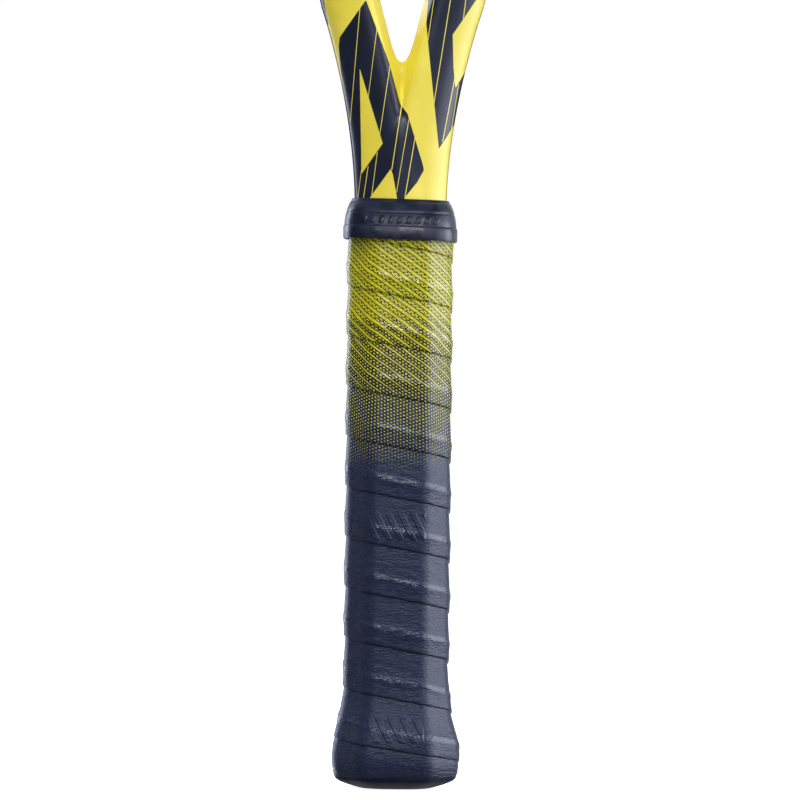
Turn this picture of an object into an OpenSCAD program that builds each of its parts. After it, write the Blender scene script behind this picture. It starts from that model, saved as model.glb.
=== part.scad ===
// A strung tennis racket, standing on its butt cap.
// It runs up +Z, the string bed lies in the XZ plane, and its front faces -Y. Millimetres.

/* [Racket] */
// Whole length, from the butt to the tip
racket_l = 685.8; // [680:0.1:690]
// Width of the string bed between the hoop's inner faces
bed_w = 248; // [244:1:252]
// Length of the string bed between the hoop's inner faces
bed_l = 331; // [327:1:335]

/* [Frame] */
// Thickness of the hoop, seen face on
hoop_t = 11.5; // [11.2:0.1:12]
// Depth of the beam at the tip
tip_d = 23; // [22:0.5:24]
// Depth of the beam at the hoop's sides
side_d = 26; // [25:0.5:27]
// Depth of the shaft where it leaves the handle
shaft_d = 23; // [22:0.5:24]
// Width of the shaft where it leaves the handle
shaft_w = 31.8; // [31:0.1:32.4]
// Thickness of each arm at the fork, seen face on
arm_t = 20.2; // [19.5:0.1:21]
// Depth of the string groove round the outside
groove_g = 2.5; // [2.3:0.1:2.8]
// Width of the string groove
groove_w = 6.8; // [6.4:0.1:7.2]
// How far the bumper guard stands out at the tip
guard_t = 1.8; // [1.6:0.1:2]

/* [Strings] */
// Diameter of the string
string_d = 1.3; // [1.2:0.01:1.35]

/* [Handle] */
// Width of the grip across the face
grip_w = 35.9; // [35:0.1:37]
// Depth of the grip, front to back
grip_d = 31.6; // [31:0.1:32.5]
// Thickness of the grip's wrapped strip
grip_t = 1.8; // [1.6:0.1:2]
// Height of the top end of the grip and the pallet
grip_top = 193; // [191:0.5:194]
// Width of the butt at its widest
butt_w = 43.6; // [42:0.1:45]
// Height of the rubber collar's lower edge
collar_low = 187.8; // [187:0.1:188.5]
// Height of the rubber collar
collar_h = 14; // [13.5:0.1:14.5]

/* [Hidden] */

// The hoop's centreline is an ellipse. Its angles start at the tip and grow towards the right.
hoop_a = (bed_w + hoop_t) / 2;
hoop_b = (bed_l + hoop_t) / 2;
arm_end = 120;         // angle at which an arm runs into the hoop
bridge_d = 24;         // depth of the throat bridge
bow_end = 50;          // half the bridge's angle, to where it runs out in the arms
fork_z = 270.5;        // height at which the two arms are clear of each other
fork_x = 18.2;         // an arm's centreline there
fork_lean = 15.5;      // its lean there, in degrees
shaft_top = 200;       // height at which the shaft starts to widen
shaft_foot = 12;       // lower end of the shaft, inside the handle
core_w = 24;           // width of the shaft inside the handle
core_d = 18;           // depth of the shaft inside the handle
roundness = 2.6;       // exponent of the superellipse that the beam's section follows
section_steps = 9;     // points on each side of the section
no_groove = 0.05;      // depth that is left where the string groove has run out
gap = 0.12;            // fit between the frame and the plastic strips in its groove
strip_t = 0.9;         // thickness of the grommet strips
string_rise = gap + strip_t + string_d / 2 + 0.2;  // string's height over the groove's floor
barrel_r = 1.7;        // outer radius of a grommet's barrel
barrel_out = 0.8;      // how far a barrel stands out inside the hoop
barrel_in = 0.45;      // how far past the string's bend a barrel starts
bore_r = 1;            // radius of a grommet's hole
lane = 0.7;            // the mains lie this far in front of the middle plane, the crosses behind
guard_end = 52.6;      // angle at which the bumper guard ends
throat_x = 63;         // half the length of the throat's grommet strip
mains_side = 8;        // main strings on each side of the middle
crosses = 19;          // cross strings
sides = 6;             // sides of the small holes and barrels

function unit(v) = v / norm(v);
function lerp(a, b, t) = a + (b - a) * t;
function ease(t) = let (c = min(1, max(0, t))) c * c * (3 - 2 * c);
function turned(v) = [v[1], -v[0]];
function curl(c) = sign(c) * pow(abs(c), 2 / roundness);
function rim_angle(d) = asin(pow(groove_w / d, roundness / 2));
hoop_z = racket_l - guard_t - hoop_t / 2 * curl(cos(rim_angle(tip_d))) - hoop_b;

// ---- the frame's path, as stations [centre, outward normal, inner width, outer width, depth, groove]

function hoop_at(a) = [hoop_a * sin(a), hoop_z + hoop_b * cos(a)];
function hoop_out(a) = unit([sin(a) / hoop_a, cos(a) / hoop_b]);
function hoop_depth(a) = lerp(tip_d, side_d, pow(sin(min(a, 90)), 2));
function hoop_station(a) =
    [hoop_at(a), hoop_out(a), hoop_t / 2, hoop_t / 2, hoop_depth(abs(a)), groove_g];

// Each arm is a cubic curve from the fork to the hoop
arm_a = [fork_x, fork_z];
arm_b = arm_a + 30 * [sin(fork_lean), cos(fork_lean)];
arm_d = hoop_at(arm_end);
arm_c = arm_d - 95 * unit([-hoop_a * cos(arm_end), hoop_b * sin(arm_end)]);
function arm_at(t) = pow(1 - t, 3) * arm_a + 3 * pow(1 - t, 2) * t * arm_b
    + 3 * (1 - t) * t * t * arm_c + pow(t, 3) * arm_d;
function arm_way(t) = unit(pow(1 - t, 2) * (arm_b - arm_a) + 2 * (1 - t) * t * (arm_c - arm_b)
    + t * t * (arm_d - arm_c));
function arm_station(t) = let (w = lerp(hoop_t, arm_t, pow(1 - t, 1.3)))
    [arm_at(t), turned(arm_way(t)), w / 2, w / 2, lerp(shaft_d + 0.5, side_d, ease(t)),
     lerp(no_groove, groove_g, ease((t - 0.5) / 0.1))];

// Below the fork the two tubes close up and run into one shaft
function shaft_out(z) = shaft_w / 2 + 0.00635 * pow(max(0, z - shaft_top), 1.788);
function shaft_in(z) = z > 242 ? 0.27 * (z - 242) : -8 * (242 - z) / 37;
function shaft_station(z) =
    [[0, z], [1, 0], -max(-8, shaft_in(z)), shaft_out(z), shaft_d, no_groove];
function core_station(z) = [[0, z], [1, 0], 4, core_w / 2, core_d, no_groove];

hoop_angles = [for (i = [1:30]) arm_end * (1 - i / 30)];
arm_steps = [for (i = [0:16]) i / 16];
half_path = concat([core_station(shaft_foot), core_station(grip_top + 0.5)],
    [for (z = [199.5, 205, 212, 219, 226, 233, 240, 246, 252, 258, 264]) shaft_station(z)],
    [for (t = arm_steps) arm_station(t)],
    [for (a = hoop_angles) hoop_station(a)]);
throat_path = [for (i = [0:28]) let (s = hoop_station(180 + bow_end * (1 - i / 14)))
    [s[0], s[1], s[2], s[3], bridge_d, groove_g]];

// ---- the beam's section and its sweep

// One side of the section, from the groove's rim round to the inner face
function side_points(s, grow = 0) = let (w = (s[2] + s[3]) / 2 + grow, m = (s[3] - s[2]) / 2,
        d = s[4] / 2 + grow, low = rim_angle(2 * d))
    [for (i = [0:section_steps]) let (a = lerp(low, 180, i / section_steps))
        [m + w * curl(cos(a)), d * curl(sin(a))]];
function rim_u(s) = side_points(s)[0][0];
function floor_u(s) = rim_u(s) - s[5];
function section(s, grow = 0) = let (p = side_points(s, grow), f = [p[0][0] - s[5], p[0][1]],
        n = len(p))
    concat([f], p, [for (i = [n - 2:-1:0]) [p[i][0], -p[i][1]]], [[f[0], -f[1]]]);
function placed(s, p) = let (q = s[0] + s[1] * p[0]) [q[0], p[1], q[1]];
function ring(s, points) = [for (p = points) placed(s, p)];

// A closed skin over rings that all hold the same number of points
module skin(rings) {
    n = len(rings[0]);
    last = (len(rings) - 1) * n;
    walls = [for (r = [0:len(rings) - 2], i = [0:n - 1])
        let (a = r * n + i, b = r * n + (i + 1) % n) each [[a, a + n, b + n], [a, b + n, b]]];
    polyhedron([for (r = rings) each r],
        concat([[for (i = [0:n - 1]) i]], walls, [[for (i = [n - 1:-1:0]) last + i]]));
}
// Turns whatever it holds into one solid
module joined() resize([0, 0, 0]) union() children();
module both_sides() {
    children();
    mirror([1, 0, 0]) children();
}
module half_frame(grow = 0) skin([for (s = half_path) ring(s, section(s, grow))]);
module throat_bow() skin([for (s = throat_path) ring(s, section(s))]);

// ---- the string pattern: where each string enters the frame, and which way its hole runs

function main_x(i) = let (m = i - 0.5) 10.27 * m + 0.0212 * pow(m, 3);
function cross_z(k) = let (m = k - (crosses + 1) / 2) 518.5 - 13.7 * m - 0.018 * pow(m, 3);
mouth_a = bed_w / 2 - barrel_out - barrel_in;
mouth_b = bed_l / 2 - barrel_out - barrel_in;
function mouth_at_x(x, up) = [x, hoop_z + up * mouth_b * sqrt(1 - pow(x / mouth_a, 2))];
function mouth_at_z(z, right) = [right * mouth_a * sqrt(1 - pow((z - hoop_z) / mouth_b, 2)), z];
function mouth_way(p) = unit([p[0] / pow(mouth_a, 2), (p[1] - hoop_z) / pow(mouth_b, 2)]);

// The line that the string follows outside the frame, in the groove
function offset_line(path, u) = [for (s = path) s[0] + s[1] * (floor_u(s) + u)];
function mirrored(points) = [for (i = [len(points) - 1:-1:0]) [-points[i][0], points[i][1]]];
groove_path = [for (s = half_path) if (s[5] > 1) s];
side_line = offset_line(groove_path, string_rise);
round_line = concat(side_line, [for (i = [1:len(side_line) - 1]) mirrored(side_line)[i]]);
throat_line = offset_line(throat_path, string_rise);
// Where a ray meets a line of points, as [the segment's number, the point, the length, the slant]
function crossing(p, w, line) = [for (i = [0:len(line) - 2])
    let (a = line[i], e = line[i + 1] - a, det = w[0] * e[1] - w[1] * e[0])
    if (abs(det) > 1e-6)
        let (q = a - p, t = (q[0] * e[1] - q[1] * e[0]) / det,
            k = (q[0] * w[1] - q[1] * w[0]) / det)
        if (t > 0 && k >= 0 && k < 1) [i, a + k * e, t, abs(w * e / det)]][0];
// A hole is [mouth, way, its crossing with the groove line, y of its axis]
function round_hole(p, y) = [p, mouth_way(p), crossing(p, mouth_way(p), round_line), y];
function throat_hole(x) = let (p = mouth_at_x(x, -1))
    [p, [0, -1], crossing(p, [0, -1], throat_line), -lane];
function main_hole(x, up) = up < 0 && abs(x) < throat_x ? throat_hole(x)
    : round_hole(mouth_at_x(x, up), -lane);
function cross_hole(k, right) = round_hole(mouth_at_z(cross_z(k), right), lane);

main_xs = concat([for (i = [mains_side:-1:1]) -main_x(i)], [for (i = [1:mains_side]) main_x(i)]);
top_holes = [for (x = main_xs) main_hole(x, 1)];
low_holes = [for (x = main_xs) main_hole(x, -1)];
left_holes = [for (k = [1:crosses]) cross_hole(k, -1)];
right_holes = [for (k = [1:crosses]) cross_hole(k, 1)];
main_ties = [for (r = [-1, 1]) round_hole(mouth_at_z(612, r), -lane)];
cross_ties = [round_hole(mouth_at_x(-42.5, 1), lane), round_hole(mouth_at_x(77, -1), lane)];
throat_holes = [for (h = low_holes) if (abs(h[0][0]) < throat_x) h];
outer_holes = concat(top_holes, [for (h = low_holes) if (abs(h[0][0]) > throat_x) h],
    left_holes, right_holes, main_ties, cross_ties);
function hole_angle(h) = atan2(abs(h[2][1][0]) / hoop_a, (h[2][1][1] - hoop_z) / hoop_b);
function in_guard(h) = hole_angle(h) < guard_end;

// A prism along a hole, from one distance past its mouth to another
module along(h, r, from, to) {
    translate([h[0][0], h[3], h[0][1]])
        rotate([0, atan2(h[1][0], h[1][1]), 0])
            translate([0, 0, from]) cylinder(r = r, h = to - from, $fn = sides);
}
module hole_cuts(holes) for (h = holes) along(h, barrel_r + gap, -3, h[2][2] + 2);
// A barrel ends short of the string, by more where its hole meets the groove at a slant
module barrels(holes) for (h = holes)
    along(h, barrel_r, barrel_in, h[2][2] - string_d / 2 - 0.4 - barrel_r * h[2][3]);
module bores(holes) for (h = holes) along(h, bore_r, -1, h[2][2] + 3);

// ---- frame and bridge

module frame() color([0.83, 0.77, 0.26]) joined() difference() {
    union() {
        both_sides() half_frame();
        // the web that rounds off the bottom of the fork
        difference() {
            translate([-4, -6, 240]) cube([8, 12, 11]);
            translate([0, 0, 252]) rotate([90, 0, 0]) cylinder(r = 3.1, h = 20, center = true, $fn = 12);
        }
    }
    hole_cuts(outer_holes);
}

module throat_bridge() color([0.07, 0.09, 0.15]) joined() difference() {
    throat_bow();
    both_sides() half_frame(0.03);
    hole_cuts(concat(throat_holes, outer_holes));
}

// ---- plastic strips in the groove

function band(s) = let (f = floor_u(s) + gap, v = groove_w / 2 - gap)
    [[f, -v], [f + strip_t, -v], [f + strip_t, v], [f, v]];
module strip(path, holes) joined() difference() {
    union() {
        skin([for (s = path) ring(s, band(s))]);
        barrels(holes);
    }
    bores(holes);
}
side_stations = concat([for (t = arm_steps) if (t > 0.6) arm_station(t)],
    [for (i = [1:20]) hoop_station(lerp(arm_end, guard_end + 0.7, i / 20))]);
function rightwards(h) = [[abs(h[0][0]), h[0][1]], [abs(h[1][0]), h[1][1]], h[2], h[3]];
module side_strip(right) mirror([right > 0 ? 0 : 1, 0, 0])
    strip(side_stations, [for (h = outer_holes) if (!in_guard(h) && h[0][0] * right > 0) rightwards(h)]);
module grommet_strip_left() color([0.08, 0.09, 0.12]) side_strip(-1);
module grommet_strip_right() color([0.08, 0.09, 0.12]) side_strip(1);
module grommet_strip_throat() color([0.08, 0.09, 0.12])
    strip([for (s = throat_path) if (abs(s[0][0]) < throat_x) s], throat_holes);

// The guard: a band in the groove, two rails over the hoop's outer face, and a channel between them
function guard_section(s) = let (p = side_points(s), f = floor_u(s) + gap, r = p[0][0],
        v = groove_w / 2 - gap, n = 3,
        out = [for (i = [0:n]) unit([cos(i * 13), sin(i * 13)])],
        inner = concat([[f, v], [r + 0.15, v]], [for (i = [1:n]) p[i] + 0.15 * out[i]]),
        outer = concat([for (i = [n:-1:0]) p[i] + (guard_t - 0.3 * i) * out[i]],
            [[r + guard_t, 2.6], [f + strip_t, 2.3]]),
        half = concat(inner, outer))
    concat([for (p = half) [p[0], -p[1]]], [for (i = [len(half) - 1:-1:0]) half[i]]);
module bumper_guard() color([0.07, 0.08, 0.11]) joined() difference() {
    union() {
        skin([for (i = [0:24]) let (s = hoop_station(lerp(guard_end, -guard_end, i / 24)))
            ring(s, guard_section(s))]);
        barrels([for (h = outer_holes) if (in_guard(h)) h]);
    }
    bores([for (h = outer_holes) if (in_guard(h)) h]);
}

// ---- strings

// The points of a line that lie between two holes' crossings, but not close to either
function between(line, g, h) = let (i = g[2][0], j = h[2][0],
        run = i < j ? [for (k = [i + 1:j]) line[k]] : [for (k = [i:-1:j + 1]) line[k]])
    [for (p = run) if (norm(p - g[2][1]) > 1.6 && norm(p - h[2][1]) > 1.6) p];
function loop_line(g) = g[1][0] == 0 ? throat_line : round_line;
function inward(h) = [h[2][1], h[0]];
function outward(h) = [h[0], h[2][1]];
// A string's end: a knot inside the hoop, then out through its own hole to the groove
function tie(h) = [h[0] - 3.6 * h[1], h[0] - 1.4 * h[1], h[0], h[2][1]];
function backwards(p) = [for (i = [len(p) - 1:-1:0]) p[i]];
// One string that goes from hole to hole, from its first knot to its last
function lacing(first, holes, last) = let (n = len(holes)) concat(tie(first),
    between(round_line, first, holes[0]),
    [for (i = [0:n - 1]) each i % 2 == 0 ? inward(holes[i])
        : concat(outward(holes[i]),
            i < n - 1 ? between(loop_line(holes[i]), holes[i], holes[i + 1]) : [])],
    between(round_line, holes[n - 1], last), backwards(tie(last)));

module string(p, y) {
    n = len(p);
    skin([for (i = [0:n - 1])
        let (a = unit(p[max(i, 1)] - p[max(i, 1) - 1]),
            b = unit(p[min(i, n - 2) + 1] - p[min(i, n - 2)]),
            m = turned(unit(a + b)), k = 1 / (m * turned(a)),
            r = i < 2 || i > n - 3 ? 1.2 : string_d / 2)
        [for (c = [0:7]) let (q = p[i] + m * r * k * cos(c * 45)) [q[0], y + r * sin(c * 45), q[1]]]]);
}
main_order = [for (i = [0:2 * mains_side - 1]) each i % 2 == 0 ? [top_holes[i], low_holes[i]]
    : [low_holes[i], top_holes[i]]];
cross_order = [for (k = [0:crosses - 1]) each k % 2 == 0 ? [left_holes[k], right_holes[k]]
    : [right_holes[k], left_holes[k]]];
module main_string() color([0.1, 0.1, 0.11]) string(lacing(main_ties[0], main_order, main_ties[1]), -lane);
module cross_string() color([0.13, 0.13, 0.14])
    string(lacing(cross_ties[0], cross_order, cross_ties[1]), lane);

// ---- handle

bevel = 0.232;          // share of a width that each corner of the octagon cuts off
deeper = grip_d - grip_w;
fit = 0.1;              // room between a piece of the handle and what it goes over
pallet_w = grip_w - 2 * grip_t;
cap_t = 1.5;            // thickness of the butt cap's skirt
cap_top = 36;           // top end of the butt cap's skirt
cap_dome = 4.2;         // height at which the grip starts on the butt cap
door_w = 17.2;          // width of the trap door
door_d = 13.2;          // depth of the trap door
door_z = 0.4;           // how far the trap door is sunk in
door_t = 1.5;           // thickness of the trap door
// How much wider than its straight part the grip is, as [height, extra width]
flare = [[34, 0], [30, 1.5], [23.2, 3.6], [17.5, 7.2], [14, butt_w - grip_w], [9, butt_w - grip_w],
    [6, butt_w - grip_w - 0.6], [cap_dome, butt_w - grip_w - 1.6]];

function octagon(w, d) = let (c = bevel * w, x = w / 2, y = d / 2)
    [[x - c, -y], [x, c - y], [x, y - c], [x - c, y], [c - x, y], [-x, y - c], [-x, c - y], [c - x, -y]];
function octagon_ring(w, z) = [for (p = octagon(w, w + deeper)) [p[0], p[1], z]];
function flared(w, low, high) = concat([octagon_ring(w + flare[len(flare) - 1][1], low)],
    [for (i = [len(flare) - 2:-1:0]) octagon_ring(w + flare[i][1], flare[i][0])],
    [octagon_ring(w, high)]);
module octagon_bar(w, low, high)
    translate([0, 0, low]) linear_extrude(high - low) polygon(octagon(w, w + deeper));
module core_hole(low, high) translate([0, 0, low]) linear_extrude(high - low) union() {
    polygon(section(core_station(0), fit));
    mirror([1, 0]) polygon(section(core_station(0), fit));
}

module handle_pallet() color([0.85, 0.83, 0.78]) difference() {
    union() {
        octagon_bar(pallet_w - 2 * cap_t - 2 * fit, 6, cap_top + fit);
        octagon_bar(pallet_w, cap_top + fit, grip_top);
    }
    core_hole(5, grip_top + 1);
}

module butt_cap() color([0.09, 0.1, 0.14]) joined() difference() {
    skin(concat([octagon_ring(24, 0), octagon_ring(31.5, 1.2), octagon_ring(38.2, 2.6),
        octagon_ring(41.9, cap_dome - 0.01)], flared(pallet_w - 2 * fit, cap_dome, cap_top)));
    octagon_bar(pallet_w - 2 * cap_t, door_z + door_t, cap_top + 1);
    translate([-door_w / 2 - fit, -door_d / 2 - fit, -1])
        cube([door_w + 2 * fit, door_d + 2 * fit, 9]);
}

module trap_door() color([0.16, 0.18, 0.22]) {
    translate([-door_w / 2, -door_d / 2, door_z]) cube([door_w, door_d, door_t]);
    // two snap legs
    for (x = [-1, 1]) translate([x * (door_w / 2 - 0.8) - 0.8, -3, door_z + door_t]) cube([1.6, 6, 3.5]);
}

module staple(crown, leg) {
    translate([-crown / 2, 0, -0.3]) cube([crown, 0.5, 0.6]);
    for (x = [-1, 1]) translate([x * (crown / 2 - 0.3) - 0.3, 0, -0.3]) cube([0.6, leg, 0.6]);
}
module butt_cap_staples() color([0.7, 0.7, 0.72]) for (a = [0, 90, 180, 270])
    rotate([0, 0, a]) translate([0, (a % 180 == 0 ? -14.9 : -17), 27]) staple(9, a % 180 == 0 ? 5.4 : 4.6);

module grip() color([0.12, 0.14, 0.22]) joined() difference() {
    skin(flared(grip_w, cap_dome, grip_top));
    skin(flared(pallet_w, cap_dome - 0.5, grip_top + 1));
}
module grip_staple() color([0.7, 0.7, 0.72]) translate([0, 19, 10]) rotate([0, 0, 180]) staple(8, 5);

module finishing_tape() color([0.05, 0.05, 0.06]) difference() {
    octagon_bar(grip_w + 0.6, collar_low + 0.8, grip_top - 0.4);
    octagon_bar(grip_w + 0.2, collar_low, grip_top);
}

// An oval of superellipse form, between a circle and a box
function oval(w, d, n, z) = [for (i = [0:31]) let (a = i * 360 / 32, c = cos(a), s = sin(a))
    [w / 2 * sign(c) * pow(abs(c), 2 / n), d / 2 * sign(s) * pow(abs(s), 2 / n), z]];
module rubber_collar() color([0.13, 0.16, 0.23]) joined() difference() {
    translate([0, 0, collar_low]) skin([oval(39.2, 35.2, 3.6, 0), oval(39.2, 35.2, 3.6, collar_h - 10),
        oval(38.1, 33.4, 3.4, collar_h - 7), oval(36.4, 30, 3, collar_h - 3.4),
        oval(34.3, 26, 2.8, collar_h - 1.2), oval(33.4, 24.8, 2.6, collar_h)]);
    octagon_bar(grip_w + 0.8, collar_low - 1, grip_top);
    translate([0, 0, grip_top - 0.1]) skin([oval(36.2, 30.6, 2.8, 0), oval(31.9, 23.2, roundness, 6.4),
        oval(31.9, 23.2, roundness, 12)]);
    both_sides() half_frame(fit);
}

frame();
throat_bridge();
bumper_guard();
grommet_strip_left();
grommet_strip_right();
grommet_strip_throat();
main_string();
cross_string();
handle_pallet();
butt_cap();
butt_cap_staples();
trap_door();
grip();
grip_staple();
finishing_tape();
rubber_collar();
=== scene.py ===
"""A tennis racket standing on its butt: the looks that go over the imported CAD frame. Lengths are in mm."""
from functools import lru_cache, reduce
from math import asin, atan2, copysign, cos, degrees, hypot, pi, radians, sin, sqrt, tan, tau

import bmesh
import bpy
from mathutils import Matrix, Vector, noise
from mathutils.geometry import intersect_line_line_2d


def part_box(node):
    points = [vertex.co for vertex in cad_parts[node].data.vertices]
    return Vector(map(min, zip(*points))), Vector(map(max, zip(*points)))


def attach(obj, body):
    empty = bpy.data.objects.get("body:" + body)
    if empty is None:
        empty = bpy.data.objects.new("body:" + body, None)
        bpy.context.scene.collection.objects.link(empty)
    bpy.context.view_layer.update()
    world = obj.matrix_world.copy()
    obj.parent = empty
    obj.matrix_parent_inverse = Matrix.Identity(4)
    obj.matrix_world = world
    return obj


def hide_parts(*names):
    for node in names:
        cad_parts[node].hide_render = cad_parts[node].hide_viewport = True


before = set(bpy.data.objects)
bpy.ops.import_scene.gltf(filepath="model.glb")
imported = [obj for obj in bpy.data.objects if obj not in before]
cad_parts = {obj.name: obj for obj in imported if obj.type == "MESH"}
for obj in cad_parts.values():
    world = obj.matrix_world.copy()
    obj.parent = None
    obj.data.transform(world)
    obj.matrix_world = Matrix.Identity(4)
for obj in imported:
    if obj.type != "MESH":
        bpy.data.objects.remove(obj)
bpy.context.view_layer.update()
scene = bpy.context.scene

MM = 0.001

# ======== driving dimensions
HOOP_A, HOOP_B = 129.75, 171.25  # half the width and length of the hoop's centreline
HOOP_T = 11.5  # the hoop's thickness, seen face on
TIP_D, SIDE_D, SHAFT_D = 23.0, 26.0, 23.0
SHAFT_HALF, SHAFT_TOP = 15.9, 200.0
SHAFT_GROWTH, SHAFT_BEND = 0.00635, 1.788  # how the shaft widens above its straight part
PARTING_Z = 240.7  # where the two halves of the shaft start to part
ARM_END = 120.0  # the hoop angle at which an arm runs into it
ARM_T = 20.2
ARM_PULL_LOW, ARM_PULL_HIGH = 30, 95  # how far an arm's curve keeps the ways of its two ends
FORK = (18.2, 270.5)
FORK_LEAN = 15.5
BRIDGE_D, BRIDGE_END = 24.0, 50.0
GROOVE_G, GROOVE_W, NO_GROOVE = 2.5, 6.8, 0.0
GUARD_T, GUARD_END = 1.8, 52.6
STRIP_T, GAP = 0.9, 0.12
STRING_R = 0.65
RISE = GAP + STRIP_T + STRING_R + 0.2  # the string's height over the groove's floor
LANE = 0.7  # mains lie in front of the middle plane, crosses behind
BARREL_R, BORE_R = 1.7, 1.0
MOUTH = 1.25  # the strings bend into their holes this far inside the hoop
BARREL_IN = 0.45
THROAT_X = 63.0
MAINS_SIDE, CROSSES = 8, 19
MAIN_GAP, MAIN_SPREAD = 10.27, 0.0212  # the mains' spacing at the middle, and how it grows outwards
CROSS_MIDDLE, CROSS_GAP, CROSS_SPREAD = 518.5, 13.7, 0.018
MAIN_TIE_Z, CROSS_TIES = 612, (-42.5, 77)
GRIP_W, GRIP_D = 35.1, 30.8  # the handle without the steps of the wound strip
GRIP_LOW, GRIP_TOP = 4.2, 193.0
BEVEL = 0.232  # share of the width that each corner of the octagon cuts off
CORNER_R = 6.5
PITCH, FIRST_EDGE = 17.2, 9.4  # rise of the strip in one turn, and its edge on the right
LAP = 2.2  # how far each turn reaches under the next one
COLLAR_LOW, COLLAR_TILT = 187.8, 1.6
RIM_SHARE = cos(asin((GROOVE_W / TIP_D) ** 1.3)) ** (2 / 2.6)
HOOP_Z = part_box("bumper_guard")[1].z / MM - GUARD_T - HOOP_T / 2 * RIM_SHARE - HOOP_B


def lerp(a, b, t):
    return a + (b - a) * t


def ease(t):
    t = min(1.0, max(0.0, t))
    return t * t * (3 - 2 * t)


def hill(t, centre, half):
    """1 at the centre, falling smoothly to 0 at half from it."""
    return ease(1 - abs(t - centre) / half)


def curl(c, power):
    return copysign(abs(c) ** (2 / power), c)


def heading(angle):
    """The way at an angle from straight up, seen from the front."""
    return Vector((sin(radians(angle)), cos(radians(angle))))


def along(points, at):
    """The value at a place on a line through a list of (place, value)."""
    for (a, p), (b, q) in zip(points, points[1:]):
        if at <= b:
            return lerp(p, q, max(0.0, (at - a) / (b - a)))
    return points[-1][1]


# ======== meshes
def placed(name, data):
    """A new object in the scene."""
    thing = bpy.data.objects.new(name, data)
    scene.collection.objects.link(thing)
    return thing


def piece_of(name, shape, material, node, sharp=None, body="racket", weld=0.004):
    """A piece that stands for a CAD node and rides on its body."""
    verts, faces = shape
    mesh = bpy.data.meshes.new(name)
    mesh.from_pydata([(x * MM, y * MM, z * MM) for x, y, z in verts], [], faces)
    bm = bmesh.new()
    bm.from_mesh(mesh)
    bmesh.ops.remove_doubles(bm, verts=bm.verts, dist=weld * MM)
    bmesh.ops.dissolve_degenerate(bm, edges=bm.edges, dist=0.001 * MM)
    bmesh.ops.recalc_face_normals(bm, faces=bm.faces)
    bm.to_mesh(mesh)
    bm.free()
    mesh.polygons.foreach_set("use_smooth", [True] * len(mesh.polygons))
    if sharp:
        crease(mesh, sharp)
    mesh.materials.append(material)
    piece = placed(name, mesh)
    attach(piece, body)
    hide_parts(node)
    return piece


def crease(mesh, angle):
    """Keeps edges sharper than an angle crisp."""
    bm = bmesh.new()
    bm.from_mesh(mesh)
    for edge in bm.edges:
        if len(edge.link_faces) == 2 and edge.calc_face_angle(0) > radians(angle):
            edge.smooth = False
    bm.to_mesh(mesh)
    bm.free()


def grid_faces(rows, n, closed=True):
    """Quads between rows of n points."""
    return [(r * n + i, r * n + (i + 1) % n, (r + 1) * n + (i + 1) % n, (r + 1) * n + i)
            for r in range(rows - 1) for i in range(n if closed else n - 1)]


def skin(rings, caps=True):
    """Vertices and faces of a surface over rings of equal length."""
    n = len(rings[0])
    verts = [p for ring in rings for p in ring]
    faces = grid_faces(len(rings), n)
    if caps:
        faces += [tuple(range(n - 1, -1, -1)), tuple(range(len(verts) - n, len(verts)))]
    return verts, faces


def joined(*parts):
    """Several (vertices, faces) as one."""
    verts, faces = [], []
    for v, f in parts:
        start = len(verts)
        verts += v
        faces += [tuple(start + i for i in face) for face in f]
    return verts, faces


def mirrored(shape):
    verts, faces = shape
    return [(-x, y, z) for x, y, z in verts], [tuple(reversed(f)) for f in faces]


def ring_round(centre, way, side, radius, sides):
    """Points round an axis, from a direction that is square to it."""
    up = way.cross(side)
    return [tuple(centre + (side * cos(a) + up * sin(a)) * radius)
            for a in (tau * k / sides for k in range(sides))]


def lathe(origin, way, profile, sides=16):
    """A ring-shaped solid from a closed profile of (distance along, radius)."""
    side = way.orthogonal().normalized()
    rings = [ring_round(origin + way * d, way, side, r, sides) for d, r in profile]
    return skin(rings + rings[:1], caps=False)


def tube(points, radius, sides=10):
    """A round bar along a path."""
    rings, side = [], None
    for before, p, after in zip(points[:1] + points, points, points[1:] + points[-1:]):
        way = (after - before).normalized()
        side = way.orthogonal() if side is None else side - way * side.dot(way)
        side.normalize()
        rings.append(ring_round(p, way, side, radius, sides))
    return skin(rings)


def round_corner(a, p, b, reach, steps):
    """Points of a short curve in place of a path's corner p."""
    one, two = a - p, b - p
    reach = min(reach, 0.45 * one.length, 0.45 * two.length)
    start, end = p + one.normalized() * reach, p + two.normalized() * reach
    return [start.lerp(p, t).lerp(p.lerp(end, t), t) for t in (i / steps for i in range(steps + 1))]


def rounded(points, reach, steps=4):
    """A path whose sharp corners are turned into short curves."""
    out = [points[0]]
    for a, p, b in zip(points, points[1:], points[2:]):
        one, two = a - p, b - p
        if min(one.length, two.length) < 1e-6 or one.angle(two) > radians(160):
            out.append(p)
        else:
            out += round_corner(a, p, b, reach, steps)
    out.append(points[-1])
    return out


# ======== materials
def maths(kind, swapped=False):
    """A method of Value that adds a maths node."""
    def method(a, b=0.0):
        return a.graph.math(kind, b, a) if swapped else a.graph.math(kind, a, b)
    return method


class Value:
    """What a node gives. It can be used in plain sums."""

    def __init__(self, graph, socket):
        self.graph, self.socket = graph, socket

    __add__ = maths("ADD")
    __mul__ = maths("MULTIPLY")
    __sub__ = maths("SUBTRACT")
    __rsub__ = maths("SUBTRACT", swapped=True)
    __truediv__ = maths("DIVIDE")
    __abs__ = maths("ABSOLUTE")


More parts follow.
